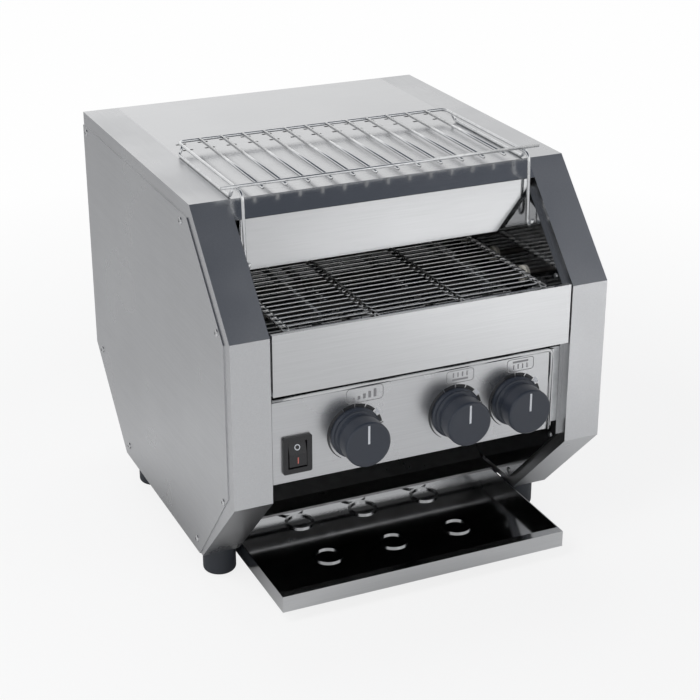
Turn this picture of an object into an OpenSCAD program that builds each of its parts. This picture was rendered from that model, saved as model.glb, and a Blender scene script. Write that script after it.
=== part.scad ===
// Conveyor toaster: two side casings carry a wire belt between two banks of
// heating elements, and a chute brings the toast back to a pull-out tray.
// Drawn with X across (0 = outer face of the left side), Y to the back
// (0 = front plane of the casings) and Z up (0 = underside of the casings);
// placed() then puts the origin on the floor under the middle of the part.

/* [Casing] */
// Width over the two side plates
case_w = 368; // [366:1:380]
// Depth of the casings, front to back
case_d = 412; // [408:1:430]
// Height of the casings without the feet
case_h = 343; // [340:1:350]
// Width of each side casing
strip_w = 37; // [36:1:38]
// Height where the lower front slant begins
slant_lo_z = 92; // [88:1:94]
// Height where the upper front slant begins
slant_hi_z = 248; // [246:1:250]
// Length of each slant, measured along the depth
slant_y = 90; // [86:1:92]
// Sheet metal thickness
sheet_t = 1; // [0.8:0.1:1.2]
// Visible rim of the casing round the side plate
rim_w = 13; // [12:1:15]

/* [Feet] */
// Foot diameter
foot_d = 31.4; // [28:0.2:34]
// Foot height
foot_h = 28; // [22:1:34]
// Foot centre from the outer face of the side
foot_x = 23.4; // [21:0.2:24]
// Foot centre behind the lower slant's end
foot_in = 18; // [17:1:24]

/* [Belt] */
// Height of the upper run's wire centre line
belt_z = 246; // [244:0.5:247]
// Radius of the wire centre line round a shaft
belt_r = 13.5; // [13:0.5:14]
// Diameter of the belt wire
wire_d = 1.9; // [1.6:0.1:2]
// Number of wire strands in the belt
strands = 72; // [70:1:74]
// Gap between the left inner wall and the belt
belt_side_l = 13; // [11:1:15]
// Gap between the right inner wall and the belt
belt_side_r = 14.5; // [13:0.5:16]
// Front shaft behind the front plane
front_shaft_y = 19; // [19:0.5:20]
// Distance between the belt shafts
shaft_gap = 300; // [295:1:302]
// Belt shaft diameter
shaft_d = 8; // [7:0.5:9]

/* [Heating] */
// Diameter of a heating element
element_d = 6.5; // [6:0.5:8]
// Upper elements
upper_count = 5; // [3:1:5]
// Lower elements, between the runs of the belt
lower_count = 4; // [3:1:4]

/* [Drive] */
// Chain pitch
chain_pitch = 9.525; // [9.525]
// Teeth of the sprocket on the rear shaft
driven_teeth = 12; // [11:1:13]
// Teeth of the sprocket on the motor
motor_teeth = 8; // [8:1:9]

/* [Controls] */
// Knob diameter at its face
knob_d = 43; // [40:1:44]
// Reach of the knob faces in front of the front plane
knob_reach = 20; // [18:1:24]
// Depth of the control panel behind the front plane
panel_y = 10; // [9:0.5:11]

/* [Tray] */
// Inside travel of the tray on its runners
tray_travel = 110; // [60:5:130]
// Reach of the tray in front of the front plane at rest
tray_reach = 11; // [8:1:16]

/* [Rack] */
// Diameter of the rack wire
rack_d = 3; // [2.6:0.1:3.2]
// Wires along the rack
rack_wires = 14; // [10:1:16]

/* [Hidden] */

$fn = 48;
EPS = 0.01;                       // overlap that joins two solids of one piece
FIT = 0.05;                       // radial clearance of a running fit
GAP = 0.3;                        // clearance between moving pieces
BEAD = 0.05;                      // swell of a bent wire at its bends

// colours of the materials
STEEL = "#c4c6c6";
POLISHED = "#d7d9da";
DARK_STEEL = "#54585c";
WIRE = "#dcdddd";
RUBBER = "#3a3f47";
KNOB = "#3d434d";
BLACK = "#1b1c1e";
CERAMIC = "#e8e2d4";
ZINC = "#a9adb0";

// casing outline in the (Y, Z) plane, walked with the inside on the left
outline = [
    [slant_y, 0], [case_d - slant_y, 0], [case_d, slant_lo_z],
    [case_d, case_h], [slant_y, case_h], [0, slant_hi_z], [0, slant_lo_z]];
inner_x0 = strip_w + 3;           // outer face of the left inner wall
inner_in = 10;                    // inner wall's edge inside the outline
wall_x0 = inner_x0 + sheet_t;     // inside face of the left inner wall
wall_x1 = case_w - wall_x0;
belt_x0 = wall_x0 + belt_side_l;
belt_x1 = wall_x1 - belt_side_r;
cover_flange = 8;
seam_x0 = strip_w;                // seams between casings and centre sheets
seam_x1 = case_w - strip_w;
mid_x = case_w / 2;

// belt and drive
shaft_z = belt_z - belt_r;
rear_shaft_y = front_shaft_y + shaft_gap;
front_axis = [front_shaft_y, shaft_z];
rear_axis = [rear_shaft_y, shaft_z];
motor_axis = [rear_shaft_y - 19, shaft_z - 82.5];
driven_r = chain_pitch / 2 / sin(180 / driven_teeth);
motor_r = chain_pitch / 2 / sin(180 / motor_teeth);
chain_x = seam_x1 + 5;            // middle plane of the chain
roller_r = 3;
belt_joints = [belt_x0 + 87, belt_x0 + 171];
rail_x = [belt_joints[0] - 41, belt_x1 - 42.5];
sprocket_x = [belt_x0 + 11, belt_joints[0] - 7, belt_joints[1] + 9,
              belt_x1 - 9.5];
bush_r = 6.5;

// controls, as [x, z] on the panel
knob_z = 140.5;
panel_x = [wall_x0 + GAP, wall_x1 - 7];
lower_at = [panel_x[1] - 39.4, knob_z];
upper_at = lower_at - [61.4, 0];
speed_at = [panel_x[0] + 78.5, knob_z];
switch_at = [panel_x[0] + 22.6, 130.4];
switch_size = [27.5, 35.6];
panel_z0 = 104;
band_z0 = 193;
band_z1 = 250;

// hood and rack
hood_y = 77;
hood_z = [case_h - 62, case_h - 15];
rack_z = case_h + 10;
rack_y = [slant_y - 5, slant_y + 151];
rack_x = [wall_x0 + 2.2, wall_x1 - 5];

// tray
tray_x = [inner_x0, case_w - inner_x0];
tray_y1 = 148;
tray_floor_z = -14;
tray_top_z = 2;

gland_reach = 13;
middle_y = (case_d + gland_reach - knob_reach) / 2;

// ---------------------------------------------------------------- functions
function unit(v) = v / norm(v);
function left_of(v) = [-v[1], v[0]];
// point b of a path moved to the left by d, between its edges u and v
function miter(b, u, v, d) = b + d / (1 + u * v) * (left_of(u) + left_of(v));
// closed outline moved inwards by d
function inset(p, d) = let (n = len(p))
    [for (i = [0:n - 1]) miter(p[i], unit(p[i] - p[(i + n - 1) % n]),
                               unit(p[(i + 1) % n] - p[i]), d)];
// open path moved to its left by d
function beside(p, d) = let (n = len(p))
    [for (i = [0:n - 1])
        let (u = unit(p[max(i, 1)] - p[max(i, 1) - 1]),
             v = unit(p[min(i, n - 2) + 1] - p[min(i, n - 2)]))
        miter(p[i], u, v, d)];
function reversed(p) = [for (i = [len(p) - 1:-1:0]) p[i]];
// outline of a sheet of thickness t on the left of a path
function sheet(p, t = sheet_t) = concat(p, reversed(beside(p, t)));
// outline of a wire of width w along a path
function ribbon(p, w) = concat(beside(p, -w / 2), reversed(beside(p, w / 2)));
// arc points round c, from angle a to angle b
function arc(c, r, a, b, n = 8) =
    [for (i = [0:n]) c + r * [cos(a + (b - a) * i / n), sin(a + (b - a) * i / n)]];

// a loop of cord round two circles, as [y, z, normal angle] at distance s
function loop_tilt(c1, c2) = atan2(c2[1] - c1[1], c2[0] - c1[0]);
function loop_lean(c1, r1, c2, r2) = acos((r1 - r2) / norm(c2 - c1));
function loop_straight(c1, r1, c2, r2) =
    norm(c2 - c1) * sin(loop_lean(c1, r1, c2, r2));
function loop_length(c1, r1, c2, r2) = let (f = loop_lean(c1, r1, c2, r2))
    2 * loop_straight(c1, r1, c2, r2) + (r2 * f + r1 * (180 - f)) * PI / 90;
function ray(a) = [cos(a), sin(a)];
function on_loop(s, c1, r1, c2, r2) =
    let (tilt = loop_tilt(c1, c2), lean = loop_lean(c1, r1, c2, r2),
         run = loop_straight(c1, r1, c2, r2), far = r2 * lean * PI / 90,
         a1 = tilt + lean, a2 = tilt - lean)
    s < run ? concat(c1 + r1 * ray(a1) + s * ray(a1 - 90), [a1])
    : s < run + far ? let (a = a1 - (s - run) / r2 * 180 / PI)
        concat(c2 + r2 * ray(a), [a])
    : s < 2 * run + far ?
        concat(c2 + r2 * ray(a2) + (s - run - far) * ray(a2 - 90), [a2])
    : let (a = a2 - (s - 2 * run - far) / r1 * 180 / PI)
        concat(c1 + r1 * ray(a), [a]);

// ------------------------------------------------------------------ shapes
module placed() translate([-mid_x, -middle_y, foot_h]) children();
// a (Y, Z) profile extruded across, from x
module across(x, w) translate([x, 0, 0]) rotate([90, 0, 90])
    linear_extrude(w) children();
// a (X, Z) profile extruded to the back, from y
module backwards(y, t) translate([0, y + t, 0]) rotate([90, 0, 0])
    linear_extrude(t) children();
module mirrored() translate([case_w, 0, 0]) mirror([1, 0, 0]) children();
module box(x, y, z) translate([x[0], y[0], z[0]])
    cube([x[1] - x[0], y[1] - y[0], z[1] - z[0]]);
module rod_x(x, at, r) translate([x[0], at[0], at[1]]) rotate([0, 90, 0])
    cylinder(h = x[1] - x[0], r = r);
module rod_y(y, at, r) translate([at[0], y[0], at[1]]) rotate([-90, 0, 0])
    cylinder(h = y[1] - y[0], r = r);
// round wire along a path, with a ball at each bend
module bent_wire(path, d) {
    for (i = [1:len(path) - 1]) {
        v = path[i] - path[i - 1];
        translate(path[i - 1])
            rotate([0, acos(v[2] / norm(v)), atan2(v[1], v[0])])
            cylinder(h = norm(v), d = d);
        translate(path[i]) sphere(d = d + 2 * BEAD);
    }
}
module rounded(size, r) {
    for (x = [r, size[0] - r], y = [r, size[1] - r])
        translate([x, y]) circle(r);
    translate([r, 0]) square([size[0] - 2 * r, size[1]]);
    translate([0, r]) square([size[0], size[1] - 2 * r]);
}
// domed screw head with a cross recess, its back on the plane z = 0
module screw_head(r = 3.4, h = 1.7) difference() {
    rotate_extrude() polygon(concat([[0, 0], [r, 0]],
        [for (i = [0:6]) [r * cos(i * 15), 0.4 + (h - 0.4) * sin(i * 15)]]));
    for (a = [0, 90]) rotate(a) translate([-1.6, -0.35, h - 0.7])
        cube([3.2, 0.7, 1]);
}
module slot_row(x, n, pitch, size) for (i = [0:n - 1])
    translate([x + i * pitch, 0]) square(size, center = true);

// ------------------------------------------------------------------ casings
// formed channel: strip round the outline, a rim for the side plate and an
// inner flange that the inner wall seats on
module casing() color(STEEL) difference() {
    across(sheet_t, strip_w - sheet_t) polygon(outline);
    across(2 * sheet_t, strip_w - 3 * sheet_t) polygon(inset(outline, sheet_t));
    across(0, 3 * sheet_t) polygon(inset(outline, rim_w + 14));
    across(strip_w - 2 * sheet_t, 3 * sheet_t)
        polygon(inset(outline, inner_in + 4));
}
module casing_left() casing();
module casing_right() mirrored() casing();

side_outline = let (p = inset(outline, rim_w))
    [[p[0][0], 0], outline[1], outline[2], [case_d, case_h - rim_w],
     p[4], p[5], p[6]];
module side_plate() color(STEEL) across(0, sheet_t) polygon(side_outline);
module side_plate_left() side_plate();
module side_plate_right() mirrored() side_plate();
screw_spots = [
    [case_d - 10.5, case_h - 19], [slant_y + 22, case_h - 21],
    [28, slant_hi_z + 1], [25, slant_lo_z - 3], [slant_y + 11, 13],
    [case_d - 21, slant_lo_z - 2], [case_d - slant_y - 11, 13]];
module side_screws() color(POLISHED) for (s = screw_spots) {
    translate([0, s[0], s[1]]) rotate([0, -90, 0]) screw_head();
    mirrored() translate([0, s[0], s[1]]) rotate([0, -90, 0]) screw_head();
}

// inner wall: flat pan, its edge folded back onto the casing's inner flange
module inner_wall(holes) color(POLISHED) difference() {
    union() {
        across(inner_x0, sheet_t) polygon(inset(outline, inner_in));
        across(strip_w, inner_x0 - strip_w + EPS) difference() {
            polygon(inset(outline, inner_in));
            polygon(inset(outline, inner_in + sheet_t));
        }
    }
    for (at = [front_axis, rear_axis])
        rod_x([inner_x0 - 1, wall_x0 + 1], at, bush_r - 1.5);
    for (at = element_axes) rod_x([inner_x0 - 1, wall_x0 + 1], at, end_r);
}
module inner_wall_left() inner_wall();
module inner_wall_right() mirrored() inner_wall();
wall_screw_spots = [[19.9, slant_lo_z - 0.6], [slant_y + 4, 18],
                    [24, slant_hi_z + 2], [slant_y - 4, case_h - 27]];
module wall_screws() color(ZINC) for (s = wall_screw_spots) {
    translate([wall_x0, s[0], s[1]]) rotate([0, 90, 0]) screw_head(2.8, 1.4);
    mirrored() translate([wall_x0, s[0], s[1]]) rotate([0, 90, 0])
        screw_head(2.8, 1.4);
}

// ------------------------------------------------------------ centre sheets
// lower end of the cover's strip, on the upper slant
cover_lap = 13.7549;              // its reach down the slant, along the depth
cover_strip = [slant_y - cover_lap,
               case_h - cover_lap * (case_h - slant_hi_z) / slant_y];
cover_path = [[case_d, case_h - 13], [case_d, case_h], [slant_y, case_h],
              cover_strip];
vent_pitch = 21.8;
module top_cover() color(STEEL) {
    difference() {
        across(seam_x0, seam_x1 - seam_x0) polygon(sheet(cover_path));
        for (y = [242, 262]) translate([0, y, case_h - 2]) linear_extrude(3)
            slot_row(mid_x - 6 * vent_pitch, 13, vent_pitch, [10, 3]);
    }
    for (x = [seam_x0, seam_x1 - sheet_t])
        box([x, x + sheet_t], [slant_y + 2, case_d - sheet_t + EPS],
            [case_h - cover_flange, case_h - sheet_t + EPS]);
}

// hood plate: the lower right corner is cut off along a diagonal and joggled
// back; its top edge is folded up under the cover's strip
hood_cut = [[wall_x1 - 33, hood_z[0]], [wall_x1 + 3, hood_z[1] - 1]];
joggle = [9, 6];                  // length and depth of the joggle
module hood_plate() color(POLISHED) {
    x0 = wall_x0 + GAP;
    x1 = wall_x1 - GAP;
    turn = atan2(hood_cut[1][1] - hood_cut[0][1], hood_cut[1][0] - hood_cut[0][0]);
    face = [[-320, 0], [0, 0], [joggle[0], joggle[1]], [60, joggle[1]]];
    intersection() {
        translate([hood_cut[0][0], hood_y, hood_cut[0][1]])
            rotate([0, 90 - turn, 0]) translate([0, 0, -200])
            linear_extrude(480) polygon(sheet(face));
        box([x0, x1], [hood_y, hood_y + 10], hood_z);
    }
    across(x0, x1 - x0 - 4) polygon(sheet([
        [hood_y + sheet_t, hood_z[1] - 12], [hood_y + sheet_t, hood_z[1] - 0.4],
        [hood_y + 8.4, hood_z[1] + 6]], -sheet_t));
    box([x0, hood_cut[0][0] - 2], [hood_y, hood_y + 5],
        [hood_z[0], hood_z[0] + sheet_t]);
}

// front band below the belt, with a rolled top edge and folded ends
module front_band() color(POLISHED) {
    x = [seam_x0 + 2, seam_x1 - 2];
    across(x[0], x[1] - x[0]) polygon(sheet([
        [0, band_z0], [0, band_z1], [4, band_z1], [4, band_z1 - 3]], -sheet_t));
    box([wall_x0 + GAP, wall_x1 - GAP], [sheet_t - EPS, panel_y + 14],
        [band_z0, band_z0 + sheet_t]);
    for (e = [x[0], x[1] - sheet_t])
        box([e, e + sheet_t], [sheet_t - EPS, inner_in - GAP],
            [band_z0, band_z1 - 7]);
}

// control panel: plate with a raised rim along the top and right edges and a
// folded lower lip; the switch and the three bushings pass through it
panel_rim_z = [band_z0 - 9, band_z0 - 5];
rim_t = 1.2;
module control_panel() color(STEEL) difference() {
    union() {
        across(panel_x[0], panel_x[1] - panel_x[0]) polygon(sheet([
            [panel_y + 9, panel_z0], [panel_y, panel_z0],
            [panel_y, band_z0 - GAP]], -sheet_t));
        box(panel_x, [panel_y - rim_t, panel_y + EPS], panel_rim_z);
        box([panel_x[1] - 3, panel_x[1]], [panel_y - rim_t, panel_y + EPS],
            [panel_z0 + 3, panel_rim_z[0] + EPS]);
    }
    for (at = [speed_at, upper_at, lower_at])
        rod_y([panel_y - 1, panel_y + 3], at, 5);
    translate([switch_at[0] - 11, panel_y - 1, switch_at[1] - 15])
        cube([22, 4, 30]);
}

// heat and crumb guard round the back of the controls
box_back = panel_y + 70;
box_z = [panel_z0 + 2 * sheet_t, band_z0 + 13];
module control_box() color(DARK_STEEL)
    across(wall_x0 + GAP, wall_x1 - wall_x0 - 2 * GAP) polygon(sheet([
        [panel_y + 9, box_z[0]], [box_back - 22, box_z[0]],
        [box_back, box_z[0] + 22], [box_back, box_z[1]], [4, box_z[1]],
        [4, box_z[1] - 10]], sheet_t));

// angle brackets that hold the panel to the inner walls
module panel_bracket() color(ZINC) across_bracket();
module across_bracket() {
    y = panel_y + sheet_t;
    box([wall_x0, wall_x0 + 1.5], [y, y + 16], [110, 186]);
    box([wall_x0, wall_x0 + 10], [y, y + 1.5], [110, 186]);
}
module panel_bracket_left() panel_bracket();
module panel_bracket_right() mirrored() panel_bracket();

// rear panel with cooling louvres, its top lip behind the cover's flange
module rear_panel() color(STEEL) difference() {
    union() {
        box([seam_x0, seam_x1], [case_d - sheet_t, case_d],
            [slant_lo_z + 4, case_h - 13 - GAP]);
        box([seam_x0 + 4, seam_x1 - 4], [case_d - 2 * sheet_t, case_d - sheet_t],
            [case_h - 24, case_h - 5]);
        for (x = [seam_x0, seam_x1 - sheet_t])
            box([x, x + sheet_t], [case_d - 8, case_d - sheet_t + EPS],
                [slant_lo_z + 6, case_h - 20]);
    }
    for (z = [case_h - 81:9:case_h - 36], x = [-1, 0, 1])
        box([mid_x + x * 76 - 30, mid_x + x * 76 + 30], [case_d - 3, case_d + 1],
            [z, z + 3.5]);
    rod_y([case_d - 3, case_d + 1], gland_at, 8);
}
gland_at = [seam_x1 - 34, slant_lo_z + 30];
rear_lower_path = [[case_d, slant_lo_z + 4 - GAP], [case_d, slant_lo_z],
                   [case_d - slant_y, 0], [case_d - slant_y - 8, 0]];
module rear_lower_panel() color(STEEL)
    across(seam_x0 + GAP, seam_x1 - seam_x0 - 2 * GAP)
        polygon(sheet(rear_lower_path, -sheet_t));
module rear_screws() color(ZINC)
    for (x = [seam_x0 + 9, mid_x, seam_x1 - 9], z = [slant_lo_z + 13, case_h - 18])
        translate([x, case_d, z]) rotate([-90, 0, 0]) screw_head(3.2, 1.6);

base_y = [152, case_d - slant_y - 8 - GAP];
module base_panel() color(STEEL) difference() {
    union() {
        box([seam_x0, seam_x1], base_y, [0, sheet_t]);
        for (x = [seam_x0, seam_x1 - sheet_t])
            box([x, x + sheet_t], base_y, [0, cover_flange]);
    }
    for (y = [200, 224, 248]) translate([0, y, -1]) linear_extrude(3)
        slot_row(mid_x - 100, 5, 50, [34, 5]);
}

// toast chute: the hemmed lip over the tray, then the slope to the rear
chute_lip = [126, 150];
chute_z = [tray_top_z + 1.6, tray_top_z + 1.6 + 2.4 * sheet_t];
chute_top = [case_d - 26, 166];
module chute() color(DARK_STEEL)
    across(wall_x0 + GAP, wall_x1 - wall_x0 - 2 * GAP) polygon(sheet([
        [chute_lip[1], chute_z[0]], [chute_lip[0], chute_z[0]],
        [chute_lip[0], chute_z[1]], [chute_lip[1], chute_z[1]],
        chute_top, chute_top + [3, 8]], -sheet_t));
module rear_deflector() color(DARK_STEEL)
    across(wall_x0 + GAP, wall_x1 - wall_x0 - 2 * GAP) polygon(sheet([
        chute_top + [3 + sheet_t, 3], [case_d - 12, 205],
        [case_d - 12, case_h - 43], [case_d - 40, case_h - 21]],
        -sheet_t));

// ----------------------------------------------------------------- heating
end_r = 5.5;
upper_z = case_h - 43;
reflector_z = case_h - 25;
lower_z = shaft_z;
upper_axes = [for (i = [0:upper_count - 1]) [hood_y + 41 + i * 46, upper_z]];
lower_axes = [for (i = [0:lower_count - 1])
    [front_shaft_y + 63 + i * 58, lower_z]];
reflector_y1 = case_d - 60;
element_axes = concat(upper_axes, lower_axes);
element_x = [24, case_w - 24];
module upper_reflector() color(POLISHED)
    across(wall_x0 + GAP, wall_x1 - wall_x0 - 2 * GAP) polygon(sheet([
        [hood_y + 14, reflector_z - 12], [hood_y + 21, reflector_z],
        [reflector_y1 - 12, reflector_z], [reflector_y1, reflector_z - 12]],
        -sheet_t));
module elements(axes) color(DARK_STEEL) for (at = axes) {
    rod_x(element_x, at, element_d / 2);
    for (x = [[element_x[0] - 9, element_x[0] + EPS],
              [element_x[1] - EPS, element_x[1] + 9]])
        rod_x(x, at, 1.6);
}
module upper_elements() elements(upper_axes);
module lower_elements() elements(lower_axes);
// flanged ceramic bushings that carry the elements in the inner walls
module element_ends() color(CERAMIC) for (at = element_axes) {
    element_end(at);
    mirrored() element_end(at);
}
module element_end(at) difference() {
    union() {
        rod_x([inner_x0 - 8, wall_x0 + EPS], at, end_r - FIT);
        rod_x([wall_x0, wall_x0 + 3], at, end_r + 2.5);
    }
    rod_x([0, 60], at, element_d / 2 + FIT);
}

// -------------------------------------------------------------------- belt
// one strand: straight spans between Z bends, a hook at each end that points
// to the next strand
z_rise = 4.7;
function z_bend(x) = [[x - 4.4, 0], [x - 3.15, z_rise], [x - 1.6, z_rise],
                      [x + 1.6, -z_rise], [x + 3.15, -z_rise], [x + 4.4, 0]];
hook_l = 6.2;
strand_path = concat(
    [[belt_x0 + 3.6, hook_l + 1], [belt_x0 + wire_d / 2, hook_l],
     [belt_x0 + wire_d / 2, 0]],
    z_bend(belt_joints[0]), z_bend(belt_joints[1]),
    [[belt_x1 - wire_d / 2, 0], [belt_x1 - wire_d / 2, hook_l],
     [belt_x1 - 3.6, hook_l + 1]]);
module strand() translate([0, 0, -wire_d / 2]) linear_extrude(wire_d)
    polygon(ribbon(strand_path, wire_d));
module conveyor_belt() color(WIRE) {
    length = loop_length(front_axis, belt_r, rear_axis, belt_r);
    for (i = [0:strands - 1]) {
        p = on_loop((i + 0.5) * length / strands, front_axis, belt_r,
                    rear_axis, belt_r);
        translate([0, p[0], p[1]]) rotate([p[2] - 90, 0, 0]) strand();
    }
}

// rails under the upper run, on posts and cross bars
module belt_rails() color(ZINC) {
    y = [front_shaft_y + 22, rear_shaft_y - 22];
    top = belt_z - wire_d / 2;
    for (x = rail_x) {
        box([x - 1.5, x + 1.5], y, [top - 7, top]);
        for (e = y) box([x - 1.5, x + 1.5], [e - (e == y[0] ? 0 : 14),
            e + (e == y[0] ? 14 : 0)], [shaft_z - 9, top - 7 + EPS]);
    }
    for (e = [y[0], y[1] - 14]) {
        box([wall_x0, wall_x1], [e, e + 14], [shaft_z - 10.5, shaft_z - 8.5]);
        for (x = [wall_x0, wall_x1 - 2])
            box([x, x + 2], [e, e + 14], [shaft_z - 10.5, shaft_z + 6]);
    }
}

// shafts turn in flanged bushes in the inner walls
module shaft(at, x1) color(ZINC) difference() {
    rod_x([strip_w - 4, x1], at, shaft_d / 2);
    for (x = [strip_w - 2, x1 - 3]) difference() {
        rod_x([x, x + 1], at, shaft_d);
        rod_x([x - 1, x + 2], at, shaft_d / 2 - 0.8);
    }
}
module front_shaft() shaft(front_axis, case_w - strip_w + 4);
module rear_shaft() shaft(rear_axis, chain_x + 9);
module bush(at) difference() {
    union() {
        rod_x([inner_x0 - 2, wall_x0 + EPS], at, bush_r - 1.5 - FIT);
        rod_x([wall_x0, wall_x0 + 3], at, bush_r);
    }
    rod_x([inner_x0 - 5, wall_x0 + 5], at, shaft_d / 2 + FIT);
}
module shaft_bushes() color(BLACK) for (at = [front_axis, rear_axis]) {
    bush(at);
    mirrored() bush(at);
}
// toothed disc in the plane z = 0, with n pointed teeth and a bore
module toothed(n, tip, root, t, hub, hub_t, bore) difference() {
    union() {
        linear_extrude(t, center = true) polygon([for (i = [0:n - 1],
            k = [[-0.5, root], [-0.26, root], [-0.12, tip], [0.12, tip],
                 [0.26, root]])
            k[1] * ray((i + k[0]) * 360 / n)]);
        cylinder(h = hub_t, r = hub, center = true);
    }
    cylinder(h = hub_t + 2, r = bore, center = true);
}
module sprocket_at(x, at) translate([x, at[0], at[1]]) rotate([90, 0, 90])
    children();
belt_tip_r = belt_r - wire_d / 2 - GAP;
module belt_sprockets(at) color(ZINC) for (x = sprocket_x)
    sprocket_at(x, at) toothed(9, belt_tip_r, 9, 6, 7.4, 12, shaft_d / 2);
module front_sprockets() belt_sprockets(front_axis);
module rear_sprockets() belt_sprockets(rear_axis);

// ------------------------------------------------------------------- drive
module driven_sprocket() color(DARK_STEEL) sprocket_at(chain_x, rear_axis)
    difference() {
        toothed(driven_teeth, driven_r - roller_r - GAP, driven_r - 6, 4, 9, 8,
                shaft_d / 2);
    }
motor_shaft_r = 4;
module motor_sprocket() color(DARK_STEEL) {
    sprocket_at(chain_x, motor_axis) toothed(motor_teeth,
        motor_r - roller_r - GAP, motor_r - 5, 4, 6.5, 8, motor_shaft_r - 1);
    rod_x([chain_x - 5, motor_x0 + 7], motor_axis, motor_shaft_r);
}
// roller chain round the two sprockets: plates in pairs on pins and rollers
chain_links = 2 * round(loop_length(motor_axis, motor_r, rear_axis, driven_r)
                        / chain_pitch / 2);
inner_plate_x = 2.1;              // inner plates' faces from the middle
module drive_chain() color(ZINC) {
    step = loop_length(motor_axis, motor_r, rear_axis, driven_r) / chain_links;
    pins = [for (i = [0:chain_links - 1])
        on_loop(i * step, motor_axis, motor_r, rear_axis, driven_r)];
    for (i = [0:chain_links - 1]) {
        a = [pins[i][0], pins[i][1]];
        q = pins[(i + 1) % chain_links];
        v = [q[0], q[1]] - a;
        off = i % 2 == 0 ? inner_plate_x : inner_plate_x + 1.2;
        for (s = [-1, 1]) translate([chain_x + s * (off + 0.5), a[0], a[1]])
            rotate([atan2(v[1], v[0]), 0, 0]) rotate([90, 0, 90])
            linear_extrude(1, center = true) link(norm(v), 3.9 - off / 10);
        rod_x([chain_x - inner_plate_x + 0.15, chain_x + inner_plate_x - 0.15], a,
              roller_r);
        rod_x([chain_x - 4.6, chain_x + 4.6], a, 1.4);
    }
}
module link(l, r) {
    for (x = [0, l]) translate([x, 0]) circle(r, $fn = 24);
    translate([0, 1 - r]) square([l, 2 * r - 2]);
}
motor_x0 = seam_x1 + 14;          // gearbox face, on the bracket
module gearmotor() color(ZINC) difference() {
    union() {
        translate([motor_x0, motor_axis[0] - 30, motor_axis[1] - 48])
            rotate([90, 0, 90]) linear_extrude(9) rounded([60, 66], 6);
        rod_x([motor_x0 + 9 - EPS, case_w - 5],
              [motor_axis[0], motor_axis[1] - 16], 25);
        rod_x([motor_x0 - 2, motor_x0 + EPS], motor_axis, 9);
    }
    rod_x([motor_x0 - 5, motor_x0 + 7.2], motor_axis, motor_shaft_r + FIT);
}
// bracket: plate in front of the gearbox, legs and feet on the inner wall
module motor_bracket() color(ZINC) difference() {
    y = [motor_axis[0] - 38, motor_axis[0] + 38];
    z = [motor_axis[1] - 46, motor_axis[1] + 16];
    foot_face = case_w - inner_x0;
    union() {
        box([motor_x0 - 2, motor_x0], y, z);
        for (e = [y[0], y[1] - 2]) box([foot_face, motor_x0], [e, e + 2], z);
        for (e = [[y[0] - 12, y[0] + EPS], [y[1] - EPS, y[1] + 12]])
            box([foot_face, foot_face + 2], e, z);
    }
    rod_x([motor_x0 - 6, motor_x0 + 4], motor_axis, 9 + FIT);
}

// -------------------------------------------------------------------- rack
rack_corner = 9;
rack_over = [15, 17];             // front cross wire past the side wires
// one half of the frame wire: hook and hanger in front of the hood plate,
// side wire, corner down to the rear cross wire
function frame_half(x, s) = [
    [x, hood_y - 16, hood_z[0] + 12], [x, hood_y - 12, hood_z[0] + 4],
    [x, hood_y - 7, hood_z[0] + 8], [x, hood_y - 4, rack_z],
    [x, rack_y[1] - rack_corner, rack_z],
    [x + s * rack_corner, rack_y[1], rack_z - rack_d + 0.8]];
module wire_rack() color(WIRE) {
    low = case_h + rack_d / 2 + BEAD;
    pitch = (rack_x[1] - rack_x[0]) / (rack_wires - 1);
    cross_z = rack_z + rack_d - 0.6;
    for (i = [1:rack_wires - 2])
        rod_y([rack_y[0] - 5, rack_y[1]], [rack_x[0] + i * pitch, rack_z],
              rack_d / 2);
    rod_x([rack_x[0] - rack_over[0], rack_x[1] + rack_over[1]],
          [rack_y[0], cross_z], rack_d / 2);
    bent_wire(concat(frame_half(rack_x[0], 1), reversed(frame_half(rack_x[1], -1))),
              rack_d);
    // runners that lie on the cover beside the side wires
    for (side = [[rack_x[0], -4.2], [rack_x[1], 4.2]]) {
        x = side[0] + side[1];
        y = rack_y[1] - rack_corner - 6;
        bent_wire([[side[0], y, rack_z], [x, y, low], [x, rack_y[0] + 7, low],
                   [x, rack_y[0], cross_z]], rack_d);
    }
}

// ---------------------------------------------------------------- controls
// knob: base ring, waist and head with a bevelled rim, a groove in the face
// for the pointer line, and the spindle
module knob(at) color(KNOB) {
    h = panel_y + knob_reach - 0.5;
    r = knob_d / 2;
    translate([at[0], panel_y - 0.5, at[1]]) rotate([90, 0, 0]) difference() {
        rotate_extrude($fn = 96) polygon(concat(
            [[0, 0], [r + 2.5, 0], [r + 2.5, 2.5], [r + 1, 4]],
            arc([r + 1, 8], 3, -90, -180, 5),
            [[r - 2, 12], [r, 15], [r, h - 3]],
            arc([r - 2.5, h - 2.5], 2.5, 15, 90, 4), [[0, h]]));
        translate([-1.1, 1, h - 0.6]) cube([2.2, r - 3.5, 2]);
    }
    rod_y([panel_y - 0.6, panel_y + 18], at, 3);
}
module knob_speed() knob(speed_at);
module knob_upper() knob(upper_at);
module knob_lower() knob(lower_at);
// regulator behind the panel: body, threaded bushing and terminal blades
module regulator(at) color(BLACK) {
    y = panel_y + sheet_t;
    difference() {
        union() {
            rod_y([y, y + 14], at, 15);
            box([at[0] - 12, at[0] + 12], [y + 2, y + 20], [at[1] - 17, at[1]]);
            rod_y([panel_y - 0.2, y + EPS], at, 5 - FIT);
        }
        rod_y([panel_y - 2, panel_y + 18.3], at, 3 + FIT);
    }
    for (s = [-1, 1]) box([at[0] + s * 7 - 2.4, at[0] + s * 7 + 2.4],
        [y + 20 - EPS, y + 28], [at[1] - 12, at[1] - 11.2]);
}
module regulator_speed() regulator(speed_at);
module regulator_upper() regulator(upper_at);
module regulator_lower() regulator(lower_at);

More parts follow.
